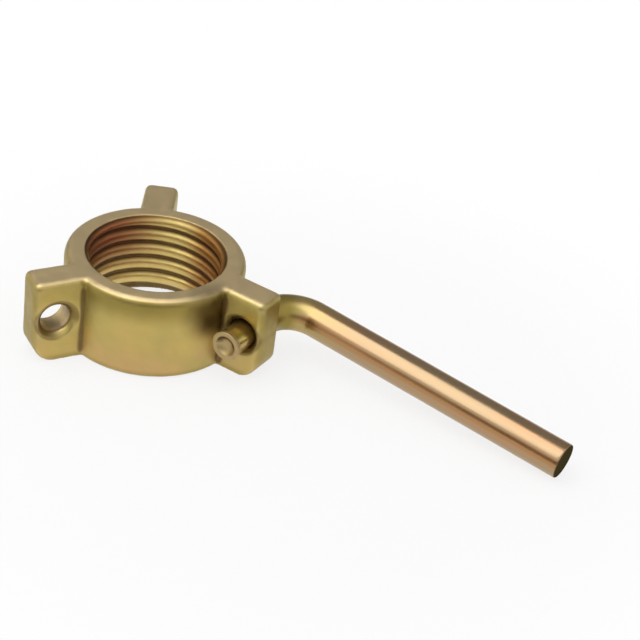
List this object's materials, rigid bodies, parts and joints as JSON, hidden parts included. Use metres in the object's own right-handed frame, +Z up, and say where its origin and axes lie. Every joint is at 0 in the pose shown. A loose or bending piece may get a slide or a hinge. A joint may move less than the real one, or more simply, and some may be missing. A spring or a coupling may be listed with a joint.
{
  "type": "scaffolding prop nut",
  "caption": "Collar nut with a coarse internal thread, drilled driving lugs and a bent bar handle that swings in one lug, for adjusting a steel support prop.",
  "frame": {"origin": "on the bore's axis, in the plane of the bottom face on which the nut stands", "axes": "+Z up along the bore, +X from the bore towards the lug that holds the handle, so the handle's arm lies on the +Y side and points along +X"},
  "size_m": [0.2342, 0.1092, 0.0396],
  "materials": {
    "zinc_iron": "yellow zinc, satin",
    "zinc_steel": "yellow zinc, bright"
  },
  "bodies": {
    "nut": {"nut_body": "zinc_iron"},
    "handle": {"handle": "zinc_steel"}
  },
  "joints": [
    {"name": "handle_swing", "type": "hinge", "parent": "nut", "child": "handle", "pos_m": [0.0494, 0.0042, 0.02025], "axis": [0, -1, 0], "range_deg": [-115, 128]}
  ]
}
